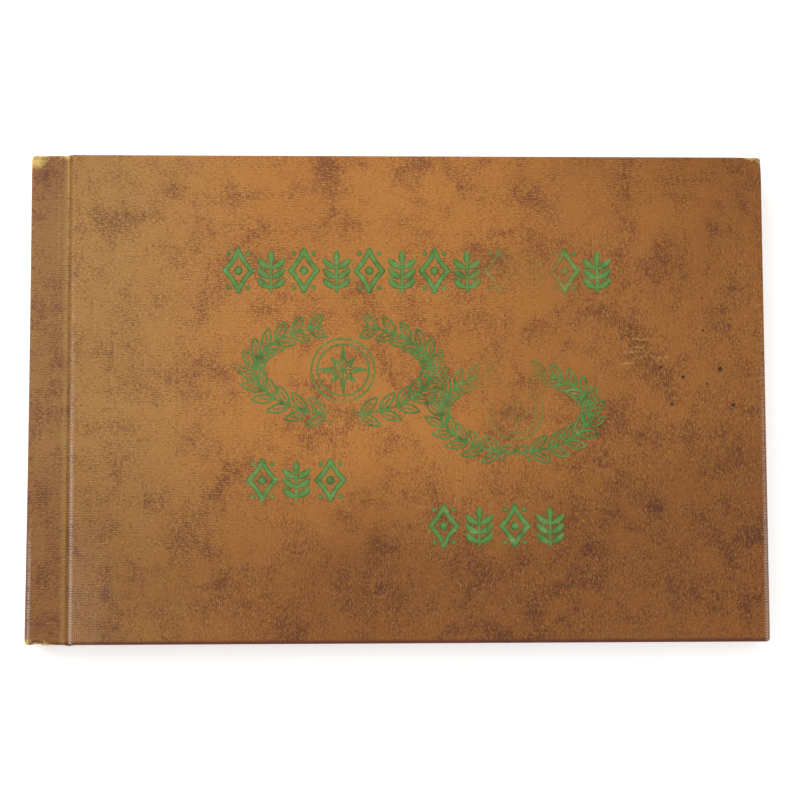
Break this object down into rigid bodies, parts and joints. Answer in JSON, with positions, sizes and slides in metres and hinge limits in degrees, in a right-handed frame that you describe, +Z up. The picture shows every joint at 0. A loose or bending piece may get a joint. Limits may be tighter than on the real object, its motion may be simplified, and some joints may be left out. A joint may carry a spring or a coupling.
{
  "type": "landscape log book",
  "caption": "Landscape cloth-bound log book, side-stapled, with two hinged boards and leaves that turn.",
  "frame": {"origin": "middle of the footprint, on the surface that the closed book lies on", "axes": "+X from the spine to the fore edge, +Y from tail to head, +Z up through the front cover"},
  "size_m": [0.229, 0.152, 0.014],
  "materials": {
    "book_cloth": "coated linen-grain cloth, satin, mottled",
    "board": "raw grey-brown board",
    "endpaper": "uncoated, aged",
    "leaf_paper": "uncoated ledger paper, aged",
    "kraft": "kraft paper",
    "gauze": "open-weave starched cotton",
    "wire": "round stitching wire"
  },
  "bodies": {
    "spine_block": {"spine_cloth": "book_cloth", "front_joint_cloth": "book_cloth", "back_joint_cloth": "book_cloth", "front_hinge_strip": "board", "back_hinge_strip": "board", "spine_stiffener": "board", "kraft_lining": "kraft", "gauze_lining": "gauze", "bound_margin": "leaf_paper", "wire_staples": "wire"},
    "front_cover": {"front_cover_cloth": "book_cloth", "front_board": "board", "front_pastedown": "endpaper"},
    "back_cover": {"back_cover_cloth": "book_cloth", "back_board": "board", "back_pastedown": "endpaper"},
    "front_flyleaf": {"front_flyleaf": "endpaper"},
    "leaf_01": {"leaf_01": "leaf_paper"},
    "leaf_02": {"leaf_02": "leaf_paper"},
    "leaf_03": {"leaf_03": "leaf_paper"},
    "leaf_04": {"leaf_04": "leaf_paper"},
    "leaf_05": {"leaf_05": "leaf_paper"},
    "leaf_06": {"leaf_06": "leaf_paper"},
    "leaf_07": {"leaf_07": "leaf_paper"},
    "leaf_08": {"leaf_08": "leaf_paper"},
    "leaf_09": {"leaf_09": "leaf_paper"},
    "leaf_10": {"leaf_10": "leaf_paper"},
    "leaf_11": {"leaf_11": "leaf_paper"},
    "leaf_12": {"leaf_12": "leaf_paper"},
    "leaf_13": {"leaf_13": "leaf_paper"},
    "leaf_14": {"leaf_14": "leaf_paper"},
    "leaf_15": {"leaf_15": "leaf_paper"},
    "leaf_16": {"leaf_16": "leaf_paper"},
    "leaf_17": {"leaf_17": "leaf_paper"},
    "leaf_18": {"leaf_18": "leaf_paper"},
    "leaf_19": {"leaf_19": "leaf_paper"},
    "leaf_20": {"leaf_20": "leaf_paper"},
    "leaf_21": {"leaf_21": "leaf_paper"},
    "leaf_22": {"leaf_22": "leaf_paper"},
    "leaf_23": {"leaf_23": "leaf_paper"},
    "leaf_24": {"leaf_24": "leaf_paper"},
    "leaf_25": {"leaf_25": "leaf_paper"},
    "leaf_26": {"leaf_26": "leaf_paper"},
    "leaf_27": {"leaf_27": "leaf_paper"},
    "leaf_28": {"leaf_28": "leaf_paper"},
    "leaf_29": {"leaf_29": "leaf_paper"},
    "leaf_30": {"leaf_30": "leaf_paper"},
    "leaf_31": {"leaf_31": "leaf_paper"},
    "leaf_32": {"leaf_32": "leaf_paper"},
    "leaf_33": {"leaf_33": "leaf_paper"},
    "leaf_34": {"leaf_34": "leaf_paper"},
    "leaf_35": {"leaf_35": "leaf_paper"},
    "leaf_36": {"leaf_36": "leaf_paper"},
    "back_flyleaf": {"back_flyleaf": "endpaper"}
  },
  "joints": [
    {"name": "front_cover_hinge", "type": "hinge", "parent": "spine_block", "child": "front_cover", "pos_m": [-0.1023, 0, 0.01331], "axis": [0, -1, 0], "range_deg": [0, 179.5], "deforming": ["front_joint_cloth"]},
    {"name": "back_cover_hinge", "type": "hinge", "parent": "spine_block", "child": "back_cover", "pos_m": [-0.1023, 0, 0.00071], "axis": [0, 1, 0], "range_deg": [0, 179.5], "deforming": ["back_joint_cloth"]},
    {"name": "front_flyleaf_hinge", "type": "hinge", "parent": "spine_block", "child": "front_flyleaf", "pos_m": [-0.1023, 0, 0.01331], "axis": [0, -1, 0], "range_deg": [0, 179.5]},
    {"name": "leaf_01_hinge", "type": "hinge", "parent": "spine_block", "child": "leaf_01", "pos_m": [-0.1023, 0, 0.01331], "axis": [0, -1, 0], "range_deg": [0, 179.5]},
    {"name": "leaf_02_hinge", "type": "hinge", "parent": "spine_block", "child": "leaf_02", "pos_m": [-0.1023, 0, 0.01331], "axis": [0, -1, 0], "range_deg": [0, 179.5]},
    {"name": "leaf_03_hinge", "type": "hinge", "parent": "spine_block", "child": "leaf_03", "pos_m": [-0.1023, 0, 0.01331], "axis": [0, -1, 0], "range_deg": [0, 179.5]},
    {"name": "leaf_04_hinge", "type": "hinge", "parent": "spine_block", "child": "leaf_04", "pos_m": [-0.1023, 0, 0.01331], "axis": [0, -1, 0], "range_deg": [0, 179.5]},
    {"name": "leaf_05_hinge", "type": "hinge", "parent": "spine_block", "child": "leaf_05", "pos_m": [-0.1023, 0, 0.01331], "axis": [0, -1, 0], "range_deg": [0, 179.5]},
    {"name": "leaf_06_hinge", "type": "hinge", "parent": "spine_block", "child": "leaf_06", "pos_m": [-0.1023, 0, 0.01331], "axis": [0, -1, 0], "range_deg": [0, 179.5]},
    {"name": "leaf_07_hinge", "type": "hinge", "parent": "spine_block", "child": "leaf_07", "pos_m": [-0.1023, 0, 0.01331], "axis": [0, -1, 0], "range_deg": [0, 179.5]},
    {"name": "leaf_08_hinge", "type": "hinge", "parent": "spine_block", "child": "leaf_08", "pos_m": [-0.1023, 0, 0.01331], "axis": [0, -1, 0], "range_deg": [0, 179.5]},
    {"name": "leaf_09_hinge", "type": "hinge", "parent": "spine_block", "child": "leaf_09", "pos_m": [-0.1023, 0, 0.01331], "axis": [0, -1, 0], "range_deg": [0, 179.5]},
    {"name": "leaf_10_hinge", "type": "hinge", "parent": "spine_block", "child": "leaf_10", "pos_m": [-0.1023, 0, 0.01331], "axis": [0, -1, 0], "range_deg": [0, 179.5]},
    {"name": "leaf_11_hinge", "type": "hinge", "parent": "spine_block", "child": "leaf_11", "pos_m": [-0.1023, 0, 0.01331], "axis": [0, -1, 0], "range_deg": [0, 179.5]},
    {"name": "leaf_12_hinge", "type": "hinge", "parent": "spine_block", "child": "leaf_12", "pos_m": [-0.1023, 0, 0.01331], "axis": [0, -1, 0], "range_deg": [0, 179.5]},
    {"name": "leaf_13_hinge", "type": "hinge", "parent": "spine_block", "child": "leaf_13", "pos_m": [-0.1023, 0, 0.01331], "axis": [0, -1, 0], "range_deg": [0, 179.5]},
    {"name": "leaf_14_hinge", "type": "hinge", "parent": "spine_block", "child": "leaf_14", "pos_m": [-0.1023, 0, 0.01331], "axis": [0, -1, 0], "range_deg": [0, 179.5]},
    {"name": "leaf_15_hinge", "type": "hinge", "parent": "spine_block", "child": "leaf_15", "pos_m": [-0.1023, 0, 0.01331], "axis": [0, -1, 0], "range_deg": [0, 179.5]},
    {"name": "leaf_16_hinge", "type": "hinge", "parent": "spine_block", "child": "leaf_16", "pos_m": [-0.1023, 0, 0.01331], "axis": [0, -1, 0], "range_deg": [0, 179.5]},
    {"name": "leaf_17_hinge", "type": "hinge", "parent": "spine_block", "child": "leaf_17", "pos_m": [-0.1023, 0, 0.01331], "axis": [0, -1, 0], "range_deg": [0, 179.5]},
    {"name": "leaf_18_hinge", "type": "hinge", "parent": "spine_block", "child": "leaf_18", "pos_m": [-0.1023, 0, 0.01331], "axis": [0, -1, 0], "range_deg": [0, 179.5]},
    {"name": "leaf_19_hinge", "type": "hinge", "parent": "spine_block", "child": "leaf_19", "pos_m": [-0.1023, 0, 0.00071], "axis": [0, 1, 0], "range_deg": [0, 179.5]},
    {"name": "leaf_20_hinge", "type": "hinge", "parent": "spine_block", "child": "leaf_20", "pos_m": [-0.1023, 0, 0.00071], "axis": [0, 1, 0], "range_deg": [0, 179.5]},
    {"name": "leaf_21_hinge", "type": "hinge", "parent": "spine_block", "child": "leaf_21", "pos_m": [-0.1023, 0, 0.00071], "axis": [0, 1, 0], "range_deg": [0, 179.5]},
    {"name": "leaf_22_hinge", "type": "hinge", "parent": "spine_block", "child": "leaf_22", "pos_m": [-0.1023, 0, 0.00071], "axis": [0, 1, 0], "range_deg": [0, 179.5]},
    {"name": "leaf_23_hinge", "type": "hinge", "parent": "spine_block", "child": "leaf_23", "pos_m": [-0.1023, 0, 0.00071], "axis": [0, 1, 0], "range_deg": [0, 179.5]},
    {"name": "leaf_24_hinge", "type": "hinge", "parent": "spine_block", "child": "leaf_24", "pos_m": [-0.1023, 0, 0.00071], "axis": [0, 1, 0], "range_deg": [0, 179.5]},
    {"name": "leaf_25_hinge", "type": "hinge", "parent": "spine_block", "child": "leaf_25", "pos_m": [-0.1023, 0, 0.00071], "axis": [0, 1, 0], "range_deg": [0, 179.5]},
    {"name": "leaf_26_hinge", "type": "hinge", "parent": "spine_block", "child": "leaf_26", "pos_m": [-0.1023, 0, 0.00071], "axis": [0, 1, 0], "range_deg": [0, 179.5]},
    {"name": "leaf_27_hinge", "type": "hinge", "parent": "spine_block", "child": "leaf_27", "pos_m": [-0.1023, 0, 0.00071], "axis": [0, 1, 0], "range_deg": [0, 179.5]},
    {"name": "leaf_28_hinge", "type": "hinge", "parent": "spine_block", "child": "leaf_28", "pos_m": [-0.1023, 0, 0.00071], "axis": [0, 1, 0], "range_deg": [0, 179.5]},
    {"name": "leaf_29_hinge", "type": "hinge", "parent": "spine_block", "child": "leaf_29", "pos_m": [-0.1023, 0, 0.00071], "axis": [0, 1, 0], "range_deg": [0, 179.5]},
    {"name": "leaf_30_hinge", "type": "hinge", "parent": "spine_block", "child": "leaf_30", "pos_m": [-0.1023, 0, 0.00071], "axis": [0, 1, 0], "range_deg": [0, 179.5]},
    {"name": "leaf_31_hinge", "type": "hinge", "parent": "spine_block", "child": "leaf_31", "pos_m": [-0.1023, 0, 0.00071], "axis": [0, 1, 0], "range_deg": [0, 179.5]},
    {"name": "leaf_32_hinge", "type": "hinge", "parent": "spine_block", "child": "leaf_32", "pos_m": [-0.1023, 0, 0.00071], "axis": [0, 1, 0], "range_deg": [0, 179.5]},
    {"name": "leaf_33_hinge", "type": "hinge", "parent": "spine_block", "child": "leaf_33", "pos_m": [-0.1023, 0, 0.00071], "axis": [0, 1, 0], "range_deg": [0, 179.5]},
    {"name": "leaf_34_hinge", "type": "hinge", "parent": "spine_block", "child": "leaf_34", "pos_m": [-0.1023, 0, 0.00071], "axis": [0, 1, 0], "range_deg": [0, 179.5]},
    {"name": "leaf_35_hinge", "type": "hinge", "parent": "spine_block", "child": "leaf_35", "pos_m": [-0.1023, 0, 0.00071], "axis": [0, 1, 0], "range_deg": [0, 179.5]},
    {"name": "leaf_36_hinge", "type": "hinge", "parent": "spine_block", "child": "leaf_36", "pos_m": [-0.1023, 0, 0.00071], "axis": [0, 1, 0], "range_deg": [0, 179.5]},
    {"name": "back_flyleaf_hinge", "type": "hinge", "parent": "spine_block", "child": "back_flyleaf", "pos_m": [-0.1023, 0, 0.00071], "axis": [0, 1, 0], "range_deg": [0, 179.5]}
  ],
  "couplings": [
    {"joint": "front_flyleaf_hinge", "follows": "front_cover_hinge", "ratio": 0.995},
    {"joint": "leaf_01_hinge", "follows": "front_cover_hinge", "ratio": 0.994},
    {"joint": "leaf_02_hinge", "follows": "front_cover_hinge", "ratio": 0.993},
    {"joint": "leaf_03_hinge", "follows": "front_cover_hinge", "ratio": 0.992},
    {"joint": "leaf_04_hinge", "follows": "front_cover_hinge", "ratio": 0.991},
    {"joint": "leaf_05_hinge", "follows": "front_cover_hinge", "ratio": 0.99},
    {"joint": "leaf_06_hinge", "follows": "front_cover_hinge", "ratio": 0.989},
    {"joint": "leaf_07_hinge", "follows": "front_cover_hinge", "ratio": 0.988},
    {"joint": "leaf_08_hinge", "follows": "front_cover_hinge", "ratio": 0.987},
    {"joint": "leaf_09_hinge", "follows": "front_cover_hinge", "ratio": 0.986},
    {"joint": "leaf_10_hinge", "follows": "front_cover_hinge", "ratio": 0.985},
    {"joint": "leaf_11_hinge", "follows": "front_cover_hinge", "ratio": 0.984},
    {"joint": "leaf_12_hinge", "follows": "front_cover_hinge", "ratio": 0.983},
    {"joint": "leaf_13_hinge", "follows": "front_cover_hinge", "ratio": 0.982},
    {"joint": "leaf_14_hinge", "follows": "front_cover_hinge", "ratio": 0.981},
    {"joint": "leaf_15_hinge", "follows": "front_cover_hinge", "ratio": 0.98},
    {"joint": "leaf_16_hinge", "follows": "front_cover_hinge", "ratio": 0.979},
    {"joint": "leaf_17_hinge", "follows": "front_cover_hinge", "ratio": 0.978},
    {"joint": "leaf_18_hinge", "follows": "front_cover_hinge", "ratio": 0.977},
    {"joint": "leaf_19_hinge", "follows": "back_cover_hinge", "ratio": 0.977},
    {"joint": "leaf_20_hinge", "follows": "back_cover_hinge", "ratio": 0.978},
    {"joint": "leaf_21_hinge", "follows": "back_cover_hinge", "ratio": 0.979},
    {"joint": "leaf_22_hinge", "follows": "back_cover_hinge", "ratio": 0.98},
    {"joint": "leaf_23_hinge", "follows": "back_cover_hinge", "ratio": 0.981},
    {"joint": "leaf_24_hinge", "follows": "back_cover_hinge", "ratio": 0.982},
    {"joint": "leaf_25_hinge", "follows": "back_cover_hinge", "ratio": 0.983},
    {"joint": "leaf_26_hinge", "follows": "back_cover_hinge", "ratio": 0.984},
    {"joint": "leaf_27_hinge", "follows": "back_cover_hinge", "ratio": 0.985},
    {"joint": "leaf_28_hinge", "follows": "back_cover_hinge", "ratio": 0.986},
    {"joint": "leaf_29_hinge", "follows": "back_cover_hinge", "ratio": 0.987},
    {"joint": "leaf_30_hinge", "follows": "back_cover_hinge", "ratio": 0.988},
    {"joint": "leaf_31_hinge", "follows": "back_cover_hinge", "ratio": 0.989},
    {"joint": "leaf_32_hinge", "follows": "back_cover_hinge", "ratio": 0.99},
    {"joint": "leaf_33_hinge", "follows": "back_cover_hinge", "ratio": 0.991},
    {"joint": "leaf_34_hinge", "follows": "back_cover_hinge", "ratio": 0.992},
    {"joint": "leaf_35_hinge", "follows": "back_cover_hinge", "ratio": 0.993},
    {"joint": "leaf_36_hinge", "follows": "back_cover_hinge", "ratio": 0.994},
    {"joint": "back_flyleaf_hinge", "follows": "back_cover_hinge", "ratio": 0.995}
  ]
}
